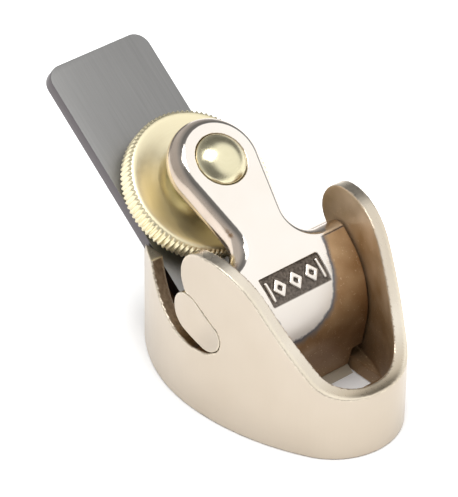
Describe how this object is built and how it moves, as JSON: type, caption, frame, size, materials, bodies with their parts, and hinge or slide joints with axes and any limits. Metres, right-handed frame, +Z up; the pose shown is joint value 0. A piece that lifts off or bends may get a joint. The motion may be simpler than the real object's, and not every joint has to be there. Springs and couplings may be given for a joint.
{
  "type": "finger plane",
  "caption": "Palm-sized cast bronze hand plane for instrument making: egg-shaped body, steel blade, hook-in lever cap, clamping screw and knurled thumbwheel.",
  "frame": {"origin": "on the flat sole, midway between heel and toe", "axes": "+X to the toe, the way the plane is pushed; +Y to its left side; +Z up, away from the wood"},
  "size_m": [0.0645, 0.0286, 0.0353],
  "materials": {
    "cast_bronze": "satin, brushed on the outside and left as cast inside",
    "polished_bronze": "polished",
    "brass": "polished",
    "satin_brass": "satin",
    "tool_steel": "ground"
  },
  "bodies": {
    "plane_body": {"plane_body": "cast_bronze"},
    "lever_cap": {"lever_cap": "polished_bronze"},
    "clamp_screw": {"clamp_screw": "brass"},
    "thumbwheel": {"thumbwheel": "satin_brass"},
    "blade": {"blade": "tool_steel"}
  },
  "joints": [
    {"name": "cap_rock", "type": "hinge", "parent": "plane_body", "child": "lever_cap", "pos_m": [0.00226, 0, 0.01417], "axis": [0, -1, 0], "range_deg": [0, 5.3]},
    {"name": "screw_travel", "type": "slide", "parent": "lever_cap", "child": "clamp_screw", "axis": [0.5948, 0, 0.8039], "range_m": [0, 0.0019]},
    {"name": "wheel_spin", "type": "hinge", "parent": "clamp_screw", "child": "thumbwheel", "pos_m": [-0.01901, 0, 0.02014], "axis": [0.5948, 0, 0.8039], "range_deg": [0, 540]},
    {"name": "blade_slide", "type": "slide", "parent": "plane_body", "child": "blade", "axis": [-0.8039, 0, 0.5948], "range_m": [-0.0003, 0.032]}
  ],
  "couplings": [
    {"joint": "cap_rock", "follows": "wheel_spin", "ratio": 0.0096341},
    {"joint": "screw_travel", "follows": "wheel_spin", "m_per_rad": 0.00019894}
  ]
}
